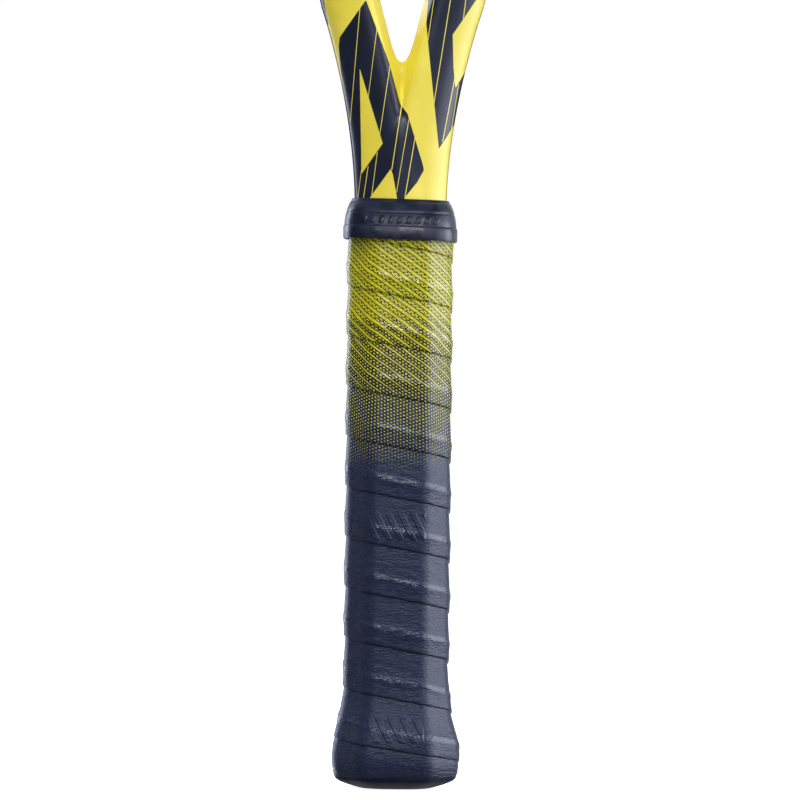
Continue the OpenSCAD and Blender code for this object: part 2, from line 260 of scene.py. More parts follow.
class Graph:
    """A material or the world, built from nodes. Values and plain numbers can be mixed."""

    def __init__(self, name, group=bpy.data.materials):
        self.owner = group.new(name)
        self.owner.use_nodes = True
        self.tree = self.owner.node_tree
        self.tree.nodes.clear()

    def node(self, kind, inputs=(), **settings):
        node = self.tree.nodes.new("ShaderNode" + kind)
        for key, setting in settings.items():
            setattr(node, key, setting)
        for key, value in dict(inputs).items():
            if isinstance(value, Value):
                self.tree.links.new(value.socket, node.inputs[key])
            else:
                node.inputs[key].default_value = value
        return node

    def value(self, kind, inputs=(), output=0, **settings):
        return Value(self, self.node(kind, inputs, **settings).outputs[output])

    def math(self, kind, a, b=0.0, c=0.0, clamp=False):
        return self.value("Math", {0: a, 1: b, 2: c}, operation=kind, use_clamp=clamp)

    def mix(self, share, a, b):
        return self.value("Mix", {0: share, 6: a, 7: b}, 2, data_type="RGBA")

    def parts(self, vector):
        return [Value(self, socket) for socket in self.node("SeparateXYZ", {0: vector}).outputs]

    def place(self):
        """The point's x, y and z in millimetres."""
        return [part * (1 / MM) for part in self.parts(self.value("TexCoord", output="Object"))]

    def noise(self, size, detail=2.0, vector=None):
        """Cloudy noise whose lumps are about size millimetres."""
        vector = vector or self.value("TexCoord", output="Object")
        return self.value("TexNoise", {"Scale": 1 / (size * MM), "Detail": detail, "Vector": vector})

    def ramp(self, value, to_low=0.0, to_high=1.0, low=0.3, high=0.7, kind="SMOOTHSTEP"):
        """Brings a value from one span, by default that of noise, to another."""
        return self.value("MapRange", {0: value, 1: low, 2: high, 3: to_low, 4: to_high},
                          interpolation_type=kind)

    def below(self, a, b, soft=0.12):
        """1 where a is less than b, with an edge soft millimetres wide."""
        return self.math("MULTIPLY_ADD", b - a, 1 / soft, 0.5, clamp=True)

    def either(self, *masks):
        return reduce(lambda a, b: self.math("MAXIMUM", a, b), masks)

    def bent_line(self, z, points, low=-60.0, high=60.0):
        """x on a line of straight stretches through points (z, x)."""
        z0, z1 = points[0][0], points[-1][0]
        node = self.node("FloatCurve", {1: self.ramp(z, 0.0, 1.0, z0, z1, "LINEAR")})
        curve = node.mapping.curves[0]
        spots = [((p[0] - z0) / (z1 - z0), (p[1] - low) / (high - low)) for p in points]
        curve.points[0].location, curve.points[1].location = spots[0], spots[-1]
        for spot in spots[1:-1]:
            curve.points.new(*spot)
        for point in curve.points:
            point.handle_type = "VECTOR"
        node.mapping.update()
        return Value(self, node.outputs[0]) * (high - low) + low

    def area(self, x, z, left, right):
        """1 between two bent lines, within the heights that both of them span."""
        z0, z1 = max(left[0][0], right[0][0]), min(left[-1][0], right[-1][0])
        between = self.below(self.bent_line(z, left), x) * self.below(x, self.bent_line(z, right))
        return between * self.below(z0, z) * self.below(z, z1)

    def stripe(self, x, z, start, end, width):
        """1 on a straight line between two points (z, x)."""
        slope = (end[1] - start[1]) / (end[0] - start[0])
        off = abs(x - (z * slope + (start[1] - slope * start[0])))
        low, high = sorted((start[0], end[0]))
        return self.below(off, width / 2) * self.below(low, z) * self.below(z, high)

    def bump(self, height, depth, **under):
        """A normal from heights of 0 to 1 that stand for depth millimetres."""
        return self.value("Bump", {"Height": height, "Distance": depth * MM, "Strength": 1.0, **under})

    def finish(self, colour, roughness, **more):
        """The material, with a surface of these values."""
        inputs = {key.replace("_", " "): value for key, value in more.items()}
        shader = self.value("BsdfPrincipled", {"Base Color": colour, "Roughness": roughness, **inputs})
        self.node("OutputMaterial", {0: shader})
        return self.owner


def srgb(r, g, b):
    """A colour from 0 to 255 as Blender's linear values."""
    return tuple((c / 255 / 12.92) if c < 11 else ((c / 255 + 0.055) / 1.055) ** 2.4
                 for c in (r, g, b)) + (1.0,)


def shade(tone, by, add=0.0):
    """A colour made darker or paler."""
    return tuple(min(1.0, c * by + add) for c in tone[:3]) + (1.0,)


YELLOW, YELLOW_DEEP = srgb(220, 202, 58), srgb(212, 194, 46)
NAVY, NAVY_SOFT = srgb(13, 18, 34), srgb(18, 24, 42)

# the paint's outlines, as (height, x) from low to high, seen from the front
LEFT_BAND = ([(150, -15.9), (202, -15.9), (224, -17.6), (246, -21), (254, -21.7), (257, -21.4),
              (269.5, -12.6)],
             [(150, 1), (202, 1.2), (207.5, 5.6), (211.8, 7.9), (213.4, 7.6), (231, 2.1), (234, -0.3),
              (248.5, -4.4), (260, -8.8), (269.5, -12.4)])
ISLAND = ([(210.6, -13.5), (220, -13.7), (246, -14.4)],
          [(210.6, -13.3), (218, -8.2), (220.7, -6.3), (246, -14.3)])
KEEL = ([(190, -19), (202, -10.6), (212, -3.5)], [(190, 1), (210, -2.7), (212, -3.4)])
RIGHT_BAND = ([(219.4, 12.9), (232, 11.5), (236, 11), (254, 9), (262, 8.2), (272, 9), (300, 19), (330, 40)],
              [(219.4, 13.1), (222.6, 15.2), (228.6, 18.6), (230, 58), (330, 58)])
NOTCH = ([(240.4, 18.4), (247, 17.7), (258.2, 17.3), (264, 21.2), (276, 29)],
         [(240.4, 18.6), (247.1, 22.4), (250, 58), (276, 58)])
LEFT_EDGE = [(261.5, -25.4), (270, -27), (300, -37), (330, -52), (350, -140)]
PINSTRIPES = (((228.5, -17.5), (267.1, -14.5), 0.22), ((236.4, -11.4), (262, -8.4), 0.2),
              ((223.8, -7.35), (249, -3.8), 0.23), ((211.8, -3.1), (234, 0.1), 0.3),
              ((204, -1.4), (229, 2.6), 0.22), ((202.5, 1.5), (223, 4.8), 0.28),
              ((200, -15), (211.7, -13.5), 0.2), ((200, -13), (213, -11.2), 0.24),
              ((202, -10), (217.8, -8.1), 0.24), ((256, 8.8), (276, 11.6), 0.22),
              ((234, 11), (276, 17.3), 0.28), ((263.6, 20.9), (276, 22.3), 0.26),
              ((221.6, 14.2), (244.6, 18.4), 0.28), ((226, 17.2), (241.6, 19.5), 0.2))
# the hoop's two dark sweeps: their slants, in height for each x, their ends and the lines across them
SWEEP_LEAN, TIP_LEAN = 0.62, 0.8
SHOULDER_SWEEP, TIP_SWEEP = (398.0, 604.0), (660.0, 700.0)
SWEEP_LINES = (405.0, 411.0, 420.0, 588.0, 596.0, 672.0)


def racket_paint():
    """Gloss yellow with angular dark bands and thin yellow lines across them."""
    g = Graph("racket_paint")
    x, _, z = g.place()
    left = g.area(x, z, *LEFT_BAND) * (1 - g.area(x, z, *ISLAND)) * (1 - g.area(x, z, *KEEL))
    right = g.area(x, z, *RIGHT_BAND) * (1 - g.area(x, z, *NOTCH))
    left_edge = g.below(x, g.bent_line(z, LEFT_EDGE, -200, 0)) * g.below(LEFT_EDGE[0][0], z)
    lean = z + abs(x) * SWEEP_LEAN
    shoulder = g.below(SHOULDER_SWEEP[0], lean) * g.below(lean, SHOULDER_SWEEP[1])
    tip = g.below(TIP_SWEEP[0], lean) * g.below(z - x * TIP_LEAN, TIP_SWEEP[1])
    lines = [g.stripe(x, z, *line) for line in PINSTRIPES]
    lines += [g.below(abs(lean - at), 0.5 + 0.2 * (k % 2)) for k, at in enumerate(SWEEP_LINES)]
    dark = g.either(left, right, left_edge, shoulder, tip) * (1 - g.either(*lines))
    cloud = g.ramp(g.noise(14.0))
    colour = g.mix(dark, g.mix(cloud, YELLOW, YELLOW_DEEP), g.mix(cloud, NAVY, NAVY_SOFT))
    fleck = g.noise(0.35, 1.0)
    return g.finish(colour, g.ramp(fleck, 0.48, 0.54) - dark * 0.12,
                    Normal=g.bump(dark * 0.6 + fleck * 0.12, 0.03), Specular_IOR_Level=1 - dark * 0.55,
                    Coat_Weight=0.12, Coat_Roughness=0.25)


def plastic(name, tone, low, high, grain=0.25, depth=0.02, **more):
    """A moulded plastic or foam with a fine grain."""
    g = Graph(name)
    speck = g.noise(grain, 3.0)
    colour = g.mix(g.ramp(g.noise(9.0)), shade(tone, 0.75), tone)
    return g.finish(colour, g.ramp(speck, low, high), Normal=g.bump(speck, depth), **more)


def rubber_skin(name, tone):
    """Soft rubber: dull, a little wavy, with glossier patches that a hand has polished; the same patches are
    also painted paler, which is a painted sheen.
    """
    g = Graph(name)
    speck, wave, gloss_and_sheen_patch = g.noise(0.3), g.noise(7.0, 1.0), g.noise(4.5)
    rough = g.ramp(speck) * 0.08 + g.ramp(gloss_and_sheen_patch, 0.27, 0.42, 0.38, 0.62)
    # the paler colour in the glossier patches is a painted sheen that stands in for patchy highlights
    return g.finish(g.mix(g.ramp(gloss_and_sheen_patch), tone, shade(tone, 1.6, 0.002)), rough,
                    Normal=g.bump(speck * 0.06 + wave * 0.9, 0.5), Specular_IOR_Level=0.6)


def brushed(name, tone):
    """Bare metal with fine streaks."""
    g = Graph(name)
    streak = g.noise(0.3, 4.0)
    return g.finish(tone, g.ramp(streak, 0.25, 0.4), Metallic=1.0, Normal=g.bump(streak, 0.01))


def string_skin(name, tone):
    """Extruded polyester: smooth, with faint lengthwise cloudiness."""
    g = Graph(name)
    cloud = g.noise(2.0)
    colour = g.mix(g.ramp(cloud, low=0.35, high=0.65), tone, shade(tone, 1.5, 0.01))
    return g.finish(colour, g.ramp(cloud, 0.25, 0.38), Normal=g.bump(g.noise(0.2), 0.01), Coat_Weight=0.3)


RIDGE = 5.7  # where each turn of the strip has a low fold, from its lower edge
PRINT_ANGLE = radians(36)
PRINT_STEP = 2.75  # from one plain band of the print to the next, square to them
BEAD_STEP, BEAD_R = 1.75, 0.29  # from one dark bead of a row to the next, along a band
BEAD_OFF = 0.25  # how far the two rows of beads are from their band's middle
DOT_ROWS, DOT_STEP = PRINT_STEP / 3, 1.35  # the small dots: from row to row, and along a row
PRINT_TOP = 190.0
BEADS_FROM, INK_FROM = 154.0, 140.0  # the heights above which beads are seen and the ink is darker
# the plain bands' half width, and how much is left between the small dots, as (height, value)
BAND_HALF = [(100, -0.5), (130, -0.2), (138, 0.15), (148, 0.4), (160, 0.64), (PRINT_TOP, 0.69)]
DOT_LEVEL = [(100, 1.2), (110, 1.0), (116, 0.75), (126, 0.5), (138, 0.36), (150, 0.24), (158, 0.05),
             (163, -0.7), (PRINT_TOP, -0.9)]
MARKS = ((90.0, 4.5), (20.5, 4.0))  # the two embossed rows of bars: middle and half height
MARK_HALF, MARK_STEP, MARK_LEAN = 9.5, 4.2, 0.5


def grip_skin():
    """Dark leathery strip. Its print of plain and beaded bands fades downwards, until only dots are left."""
    g = Graph("grip_skin")
    round_mm, z, across = g.parts(g.value("Attribute", output="Vector", attribute_name="wrap"))
    square = round_mm * sin(PRINT_ANGLE) + z * cos(PRINT_ANGLE) + g.noise(6.0) * 0.6
    lengthwise = round_mm * cos(PRINT_ANGLE) - z * sin(PRINT_ANGLE)
    speck = g.noise(0.45, 1.0)
    jitter = speck * 0.12 - 0.06
    # distances from the middle of a plain band, and of a beaded one (with its sign)
    steps = square / PRINT_STEP
    off_plain = abs(g.math("FRACT", steps) - 0.5) * PRINT_STEP
    off_beads = (g.math("FRACT", steps + 0.5) - 0.5) * PRINT_STEP
    band = g.bent_line(z, BAND_HALF, -1, 1)
    plain = g.below(off_plain, band, 0.08)
    edging = g.below(abs(off_plain - band), 0.17, 0.05) * g.below(0.3, band, 0.15)
    rows = []
    for side in (-1, 1):
        at = g.math("FRACT", lengthwise * (1 / BEAD_STEP) + 0.25 * side) * BEAD_STEP - BEAD_STEP / 2
        off = off_beads - BEAD_OFF * side
        rows.append(at * at + off * off)
    bead = g.math("SQRT", g.math("MINIMUM", *rows))
    beads = g.below(bead + jitter * 2.5, BEAD_R, 0.05)
    row = g.math("COSINE", square * (tau / DOT_ROWS) + pi)
    stagger = g.math("SINE", square * (pi / DOT_ROWS)) * \
        g.math("COSINE", lengthwise * (tau / DOT_STEP))
    waves = (row + stagger) * 0.5
    dots = g.below(g.bent_line(z, DOT_LEVEL, -2, 2), waves + jitter * 2.0, 0.1)
    dots = dots * (1 - beads * g.below(BEADS_FROM, z, 8.0))
    printed = g.either(plain, dots) * (1 - edging)
    yellow = g.mix(g.ramp(speck, low=0.35, high=0.65), srgb(188, 182, 5), srgb(170, 164, 4))
    navy = g.mix(g.ramp(g.noise(1.2), low=0.35, high=0.65), srgb(26, 31, 52), srgb(33, 39, 63))
    inked = g.below(INK_FROM, z, 25.0)
    colour = g.mix(1 - printed, yellow, g.mix(inked, navy, srgb(20, 17, 30)))
    # leather grain and wrinkles, both longer round the handle than along it
    place = g.value("TexCoord", output="Object")
    flat = g.value("VectorMath", {0: place, 1: (0.4, 0.4, 1.3)}, operation="MULTIPLY")
    cells = g.value("TexVoronoi", {"Scale": 1 / (0.62 * MM), "Vector": flat}, feature="F1")
    fine = g.noise(0.3)
    grain = cells + fine * 0.4 + g.noise(2.2, 3.0, flat) * 2.4
    x, y, height = g.place()
    bars = g.math("FRACT", (height * MARK_LEAN + x) / MARK_STEP)
    front = g.below(abs(x), MARK_HALF, 0.5) * g.below(y, 0.0)
    rows = g.either(*[g.below(abs(height - middle), half, 0.5) for middle, half in MARKS])
    marks = g.below(abs(bars - 0.5), 0.24, 0.1) * front * rows
    worn = g.below(abs(across - (RIDGE + 0.6)), 0.9, 0.8)
    return g.finish(colour, g.ramp(fine, 0.36, 0.5) - worn * 0.14 - inked * 0.08,
                    Normal=g.bump(marks, 0.22, Normal=g.bump(grain, 0.09)),
                    Specular_IOR_Level=inked * 0.02 + worn * 0.14 + 0.4)


# ======== the frame's path
def root(f, low, high):
    """Where a rising function passes 0."""
    for _ in range(36):
        middle = (low + high) / 2
        if f(middle) < 0:
            low = middle
        else:
            high = middle
    return (low + high) / 2


class Station:
    """One place on the path: centre, outward normal, half widths to each side, depth and groove.

    taper is the share of its depth that the section loses from its inner side to its outer one, and facet
    is how fully its inner corners are cut flat, from 0 to 1.
    """

    def __init__(self, centre, out, inner, outer, depth, groove, power=2.6, taper=0.0, facet=0.0):
        self.centre, self.out = Vector(centre), Vector(out).normalized()
        self.depth, self.groove, self.power, self.taper = depth, groove, power, taper
        self.width, self.middle = (inner + outer) / 2, (outer - inner) / 2
        self.rim_angle = asin((GROOVE_W / depth) ** (power / 2))
        self.rim = self.middle + self.width * curl(cos(self.rim_angle), power)
        self.floor = self.rim - groove
        self.facet, self.crease_angle = facet, -2.2
        if taper:
            most = self.crease_angle = max((-pi + 0.02 * k for k in range(10, 75)), key=self.over_at)
            if self.over_at(most) > 0:
                self.crease_angle = root(lambda a: -self.over_at(a), most, -pi / 2)

    def place(self, u, v):
        q = self.centre + self.out * u
        return (q.x, v, q.y)

    def at_groove(self, rise):
        return self.centre + self.out * (self.floor + rise)

    def half_depth(self, u):
        """Half the section's depth at u if it had no round corners."""
        across = min(1.0, max(-1.0, (u - self.middle) / self.width))
        return self.depth / 2 * (1 - self.taper * (across + 1) / 2) / (1 - 0.22 * self.taper)

    def over_facet(self, u, v):
        """Above 0 beyond the flat that cuts an inner corner."""
        corner = self.middle - self.width + FACET_W
        height = FACET_V * self.depth / 2 + (1 - self.facet) * 2.2 + FACET_SLOPE * (u - corner)
        return (abs(v) - height) / hypot(1, FACET_SLOPE)

    def over_at(self, a):
        return self.over_facet(*self.edge(a))

    def edge(self, a):
        u = self.middle + self.width * curl(cos(a), self.power)
        return u, self.half_depth(u) * curl(sin(a), self.power)


def hoop_at(a):
    way = heading(a)
    return Vector((HOOP_A * way.x, HOOP_Z + HOOP_B * way.y))


def hoop_out(a):
    """The way out of the hoop, square to its centreline."""
    way = heading(a)
    return Vector((way.x / HOOP_A, way.y / HOOP_B))


def hoop_station(a):
    depth = lerp(TIP_D, SIDE_D, heading(min(abs(a), 90)).x ** 2)
    return Station(hoop_at(a), hoop_out(a), HOOP_T / 2, HOOP_T / 2, depth, GROOVE_G)


arm_end = heading(ARM_END)
arm_a, arm_d = Vector(FORK), hoop_at(ARM_END)
arm_b = arm_a + ARM_PULL_LOW * heading(FORK_LEAN)
arm_c = arm_d + ARM_PULL_HIGH * Vector((HOOP_A * arm_end.y, -HOOP_B * arm_end.x)).normalized()
FORK_TAPER, FORK_POWER = 0.4, 2.9
FACET_W, FACET_V, FACET_SLOPE = 2.9, 0.9, 2.3  # the cut inner corners: width, height and steepness


def arm_station(t):
    s = 1 - t
    centre = s ** 3 * arm_a + 3 * s * s * t * arm_b + 3 * s * t * t * arm_c + t ** 3 * arm_d
    way = s * s * (arm_b - arm_a) + 2 * s * t * (arm_c - arm_b) + t * t * (arm_d - arm_c)
    half = lerp(HOOP_T, ARM_T, s ** 1.3) / 2
    return Station(centre, (way.y, -way.x), half, half, lerp(SHAFT_D + 0.5, SIDE_D, ease(t)),
                   lerp(NO_GROOVE, GROOVE_G, ease((t - 0.5) / 0.1)),
                   lerp(FORK_POWER, 2.6, ease(t / 0.9)), FORK_TAPER * (1 - ease(t / 0.7)), 1 - ease(t / 0.45))


def shaft_station(z):
    rise = z - PARTING_Z
    inner = 0.255 * rise if rise > 0 else max(-8.0, 0.224 * rise)
    outer = SHAFT_HALF + SHAFT_GROWTH * max(0.0, z - SHAFT_TOP) ** SHAFT_BEND
    return Station((0, z), (1, 0), -inner, outer, SHAFT_D, NO_GROOVE, FORK_POWER, FORK_TAPER, 1.0)


def core_station(z):
    return Station((0, z), (1, 0), 4, 12, 18, NO_GROOVE, 2.6, 0)


CROTCH_Z, FORK_ROUND = 249.0, 8.5  # the gap's lowest point, and how softly the tubes meet there
SECTION_N = 26  # steps of the section from its inner end to the groove's rim
CREASE_N = 10  # how many of them are on the inner flat


def tube_at(s, u, v):
    """Below 0 inside one tube of a level section."""
    sides = abs((u - s.middle) / s.width) ** s.power + abs(v / s.half_depth(u)) ** s.power
    shell = (sides ** (1 / s.power) - 1) * min(s.width, s.depth / 2)
    return max(shell, s.over_facet(u, v)) if s.facet else shell


def solid_at(s, x, v):
    """Below 0 inside the two tubes of a level section, with the valley between them filled softly."""
    right, left = tube_at(s, x, v), tube_at(s, -x, v)
    h = max(s.fill - abs(right - left), 0) / s.fill
    return min(right, left) - h * h * s.fill / 4


def fill_valley(s):
    """Sets how softly a station's tubes join: the less, the lower it is and the shallower their valley."""
    s.fill = min(FORK_ROUND, max(2.4, FORK_ROUND - 0.8 * (CROTCH_Z - s.centre.y)))
    if tube_at(s, 0, 0) < 0:
        valley = root(lambda v: tube_at(s, 0, v), 0, s.depth)
        s.fill = min(s.fill, max(0.3, 2.4 * (s.depth / 2 - valley)))
    return s


def flipped(points):
    """The same points on the other side, in reverse."""
    return [(u, -v) for u, v in reversed(points)]


def groove_points(s):
    """The string groove, from its front rim to its back one."""
    half, edge = GROOVE_W / 2, min(0.35, s.groove * 0.4)
    front = [(s.rim - edge * 0.3, -half + 0.02), (s.rim - edge, -half + edge * 0.4 + 0.05),
             (s.floor + edge, -half + edge * 0.4 + 0.1), (s.floor, -half + edge + 0.25), (s.floor, -1.1)]
    return front + flipped(front)


def section_ring(s, level):
    """Half the frame's outline at a station, from its inner end at the front round to the back."""
    start, first = -pi, s.edge(-pi)
    if level and solid_at(fill_valley(s), 0, 0) >= 0:
        first = (s.middle - root(lambda k: solid_at(s, s.middle - k, 0), 0.1, s.middle), 0.0)
    elif level:
        # the tubes have joined, so the outline starts in the valley between them
        first = (0.0, -root(lambda v: solid_at(s, 0, v), 0, s.depth / 2 + 4))
        valley, middle = Vector((-s.middle, first[1])), Vector((s.middle, 0))
        start = root(lambda a: valley.cross(Vector(s.edge(a)) - middle), -pi, -pi / 2)
    turn, rest = max(s.crease_angle, start + 0.15), SECTION_N - CREASE_N
    angles = [lerp(start, turn, i / CREASE_N) for i in range(1, CREASE_N)]
    angles += [lerp(turn, -s.rim_angle, i / rest) for i in range(rest + 1)]
    points = [first]
    for a in angles:
        u, v = s.edge(a)
        reach, over = u - s.middle, s.over_facet(u, v)
        if level:
            most = min(2.2, -s.middle / reach) if reach < 0 else 2.2
            k = root(lambda k: solid_at(s, s.middle + k * reach, k * v), 0.3, most)
            u, v = s.middle + k * reach, k * v
        elif s.facet and over > 0:
            # pull the point back to the flat, towards the tube's middle
            k = over / (over - s.over_facet(s.middle, 0.0))
            u, v = u - k * reach, v - k * v
        points.append((u, v))
    return [s.place(u, v) for u, v in points + groove_points(s) + flipped(points)]


fork_z = root(lambda z: solid_at(fill_valley(shaft_station(z)), 0, 0), 235, 262)
CORE_TOP, SHAFT_FOOT, FORK_LAST = 193.5, 12, 264


def frame_shape():
    near = [fork_z + side * k * k * 0.06 for side in (-1, 1) for k in range(0, 15)]
    levels = sorted({199.5, *range(202, int(fork_z) - 11, 2), *near, *range(int(fork_z) + 13, FORK_LAST, 2)})
    rings = [section_ring(core_station(z), True) for z in (SHAFT_FOOT, 60, 120, 170, CORE_TOP)]
    rings += [section_ring(shaft_station(z), True) for z in levels]
    rings += [section_ring(arm_station(i / 70), False) for i in range(71)]
    rings += [section_ring(hoop_station(ARM_END * (1 - i / 120)), False) for i in range(1, 121)]
    n = len(rings[0])
    half = [p for r in rings for p in r], grid_faces(len(rings), n, closed=False) + [tuple(range(n))]
    return joined(half, mirrored(half))


def bridge_shape():
    """The bow over the throat. Its ends swell and run into the arms."""
    rings = []
    for i in range(97):
        a = lerp(-BRIDGE_END, BRIDGE_END, i / 96)
        dive = ease((abs(a) - 40) / 9)
        swell = 8.0 * max(0.0, (abs(a) - 21) / 29) ** 2.2 * (1 - dive) - 2.5 * dive
        s = Station(hoop_at(180 + a), hoop_out(180 + a), HOOP_T / 2 - 1.6 * dive, HOOP_T / 2 + swell,
                    BRIDGE_D - 3 * dive, lerp(GROOVE_G, NO_GROOVE, ease((abs(a) - 29.5) / 3)))
        points = [s.edge(lerp(-pi, -s.rim_angle, k / SECTION_N)) for k in range(SECTION_N + 1)]
        ring = points + groove_points(s) + flipped(points)[:-1]
        rings.append([s.place(u, v) for u, v in ring])
    return skin(rings)


# ======== guard, strips and holes
right_path = [arm_station(t / 70) for t in range(43, 71)] + \
    [hoop_station(ARM_END * (1 - i / 90)) for i in range(1, 91)]
throat_path = [hoop_station(180 + BRIDGE_END * (1 - i / 45)) for i in range(91)]
half_line = [s.at_groove(RISE) for s in right_path]
round_line = half_line + [Vector((-p.x, p.y)) for p in reversed(half_line[:-1])]
throat_line = [s.at_groove(RISE) for s in throat_path]
BED_A, BED_B = HOOP_A - HOOP_T / 2 - MOUTH, HOOP_B - HOOP_T / 2 - MOUTH


class Hole:
    """A string's hole: its mouth inside the hoop, its way, and where it meets the groove's line."""

    def __init__(self, x, z, y, down=False):
        self.mouth, self.y = Vector((x, z)), y
        self.line = throat_line if down else round_line
        self.way = Vector((0, -1)) if down else \
            Vector((x / BED_A ** 2, (z - HOOP_Z) / BED_B ** 2)).normalized()
        far = self.mouth + self.way * 2 * HOOP_B
        hits = (intersect_line_line_2d(self.mouth, far, a, b) for a, b in zip(self.line, self.line[1:]))
        self.index, self.exit = next((i, hit) for i, hit in enumerate(hits) if hit)
        self.start, self.end = self.at(self.mouth), self.at(self.exit)
        self.outward = Vector((self.way.x, 0, self.way.y))

    def at(self, p):
        return Vector((p.x, self.y, p.y))

    def barrel(self):
        e = (self.line[self.index + 1] - self.line[self.index]).normalized()
        slant = abs(self.way.dot(e) / self.way.cross(e))
        end = (self.exit - self.mouth).length - STRING_R - 0.4 - BARREL_R * slant
        return lathe(self.start, self.outward,
                     [(BARREL_IN, BORE_R + 0.12), (BARREL_IN, BARREL_R - 0.2), (BARREL_IN + 0.2, BARREL_R),
                      (end, BARREL_R), (end, BORE_R), (BARREL_IN + 0.15, BORE_R)])


def hole_at_x(x, up, y):
    z = HOOP_Z + up * BED_B * sqrt(1 - (x / BED_A) ** 2)
    return Hole(x, z, y, down=up < 0 and abs(x) < THROAT_X and y < 0)


def hole_at_z(z, right, y):
    return Hole(right * BED_A * sqrt(1 - ((z - HOOP_Z) / BED_B) ** 2), z, y)


right_xs = [MAIN_GAP * m + MAIN_SPREAD * m ** 3 for m in (i + 0.5 for i in range(MAINS_SIDE))]
main_xs = [-x for x in reversed(right_xs)] + right_xs
cross_zs = [CROSS_MIDDLE - CROSS_GAP * m - CROSS_SPREAD * m ** 3
            for m in range(-(CROSSES // 2), CROSSES // 2 + 1)]
top_holes = [hole_at_x(x, 1, -LANE) for x in main_xs]
low_holes = [hole_at_x(x, -1, -LANE) for x in main_xs]
left_holes = [hole_at_z(z, -1, LANE) for z in cross_zs]
right_holes = [hole_at_z(z, 1, LANE) for z in cross_zs]
main_ties = [hole_at_z(MAIN_TIE_Z, r, -LANE) for r in (-1, 1)]
cross_ties = [hole_at_x(x, up, LANE) for x, up in zip(CROSS_TIES, (1, -1))]
round_holes = [h for h in top_holes + low_holes + left_holes + right_holes + main_ties + cross_ties
               if h.line is round_line]


def in_guard(hole):
    return degrees(atan2(abs(hole.exit.x) / HOOP_A, (hole.exit.y - HOOP_Z) / HOOP_B)) < GUARD_END


def band_ring(s):
    """The section of a grommet strip, with its outer corners cut."""
    u, v, c = s.floor + GAP, GROOVE_W / 2 - GAP, 0.25
    front = [(u, -v), (u + STRIP_T - c, -v), (u + STRIP_T, c - v)]
    return [s.place(*p) for p in front + flipped(front)]


def guard_ring(s):
    """The guard's section: a band in the groove and two rails that lie over the hoop's faces."""
    n, v, low = 9, GROOVE_W / 2 - GAP, s.floor + GAP
    under, over = [], []
    for i in range(n + 1):
        p = Vector(s.edge(lerp(s.rim_angle, radians(69), i / n)))
        out = heading(90 - 39 * i / n)
        thick = lerp(GUARD_T, GUARD_T - 0.9, i / n) - (0.35 if i == n else 0)
        under.append(p + GAP * out)
        over.append(p + thick * out)
    half = [(low, v), (s.rim + 0.1, v)] + under[1:] + over[::-1]
    half += [(s.rim + GUARD_T - 0.05, 2.85), (s.rim + GUARD_T - 0.35, 2.6), (low + STRIP_T + 0.2, 2.35),
             (low + STRIP_T, 2.15)]
    return [s.place(u, -w) for u, w in half] + [s.place(u, w) for u, w in reversed(half)]


def guard_shape():
    rings = [guard_ring(hoop_station(lerp(GUARD_END, -GUARD_END, i / 110))) for i in range(111)]
    return joined(skin(rings), *[h.barrel() for h in round_holes if in_guard(h)])


def side_strip_shape(side):
    stations = [arm_station(i / 90) for i in range(56, 91)]
    stations += [hoop_station(lerp(ARM_END, GUARD_END + 0.7, i / 60)) for i in range(1, 61)]
    band = skin([band_ring(s) for s in stations])
    band = band if side > 0 else mirrored(band)
    return joined(band, *[h.barrel() for h in round_holes if not in_guard(h) and h.exit.x * side > 0])


def throat_strip_shape():
    band = skin([band_ring(s) for s in throat_path if abs(s.centre.x) < THROAT_X])
    return joined(band, *[h.barrel() for h in low_holes if h.line is throat_line])


# ======== strings
WEAVE = STRING_R * 1.02


def between(g, h):
    """The groove line's points from one hole to another, but not close to either."""
    line = g.line
    run = line[g.index + 1:h.index + 1] if g.index < h.index else line[g.index:h.index:-1]
    return [g.at(p) for p in run if (p - g.exit).length > 2.2 and (p - h.exit).length > 2.2]


def woven(stops, steps=6):
    """A string's run over the bed, bent softly from one crossing to the next."""
    points = stops[:1]
    for a, b in zip(stops, stops[1:]):
        for i in range(1, steps + 1):
            p = a.lerp(b, i / steps)
            p.y = lerp(a.y, b.y, ease(i / steps))
            points.append(p)
    return points


def tie_path(hole):
    """A string's end inside the hoop, and its way out through its hole."""
    return [hole.start - hole.outward * 4.6, hole.start - hole.outward * 1.4, hole.start, hole.end]


def knot(hole):
    """Two turns of string pulled tight against the grommet."""
    way, side = hole.outward, Vector((0, 1, 0))
    centre, up = hole.start - way * 1.5, way.cross(side)
    turns = [centre + way * (1.3 * sin(a * 0.5 + 0.4)) + (side * cos(a) + up * sin(a)) * 1.25
             for a in (tau * 2.4 * i / 40 for i in range(41))]
    return tube(turns, STRING_R * 0.95, 8)


def laced(ties, runs):
    """One string: its tie, the runs over the bed with the loops between them, and its last tie."""
    first, last = ties
    stops = [enter for enter, _, _ in runs[1:]] + [last]
    path = tie_path(first) + between(first, runs[0][0])
    for (enter, leave, bed), after in zip(runs, stops):
        path += [enter.end, *bed, leave.end, *between(leave, after)]
    path += reversed(tie_path(last))
    return joined(tube(rounded(path, 1.3), STRING_R), knot(first), knot(last))


def bed_runs(starts, ends, own, front):
    """A string's runs over the bed, every second one back: (first hole, last hole, path).

    own says which number of a crossing is the run's, and front on which side it passes even ones.
    """
    runs = []
    for n, (enter, leave) in enumerate(zip(starts, ends)):
        spots = [Vector((main_xs[i], front * WEAVE * (-1) ** (i + k), cross_zs[k]))
                 for i, k in crossings if (i, k)[own] == n]
        if n % 2:
            enter, leave, spots = leave, enter, spots[::-1]
        runs.append((enter, leave, woven([enter.start, *spots, leave.start])))
    return runs


# the numbers of each main and cross that meet inside the hoop
crossings = [(i, k) for i in range(len(main_xs)) for k in range(CROSSES)
             if low_holes[i].mouth.y + 3 < cross_zs[k] < top_holes[i].mouth.y - 3]

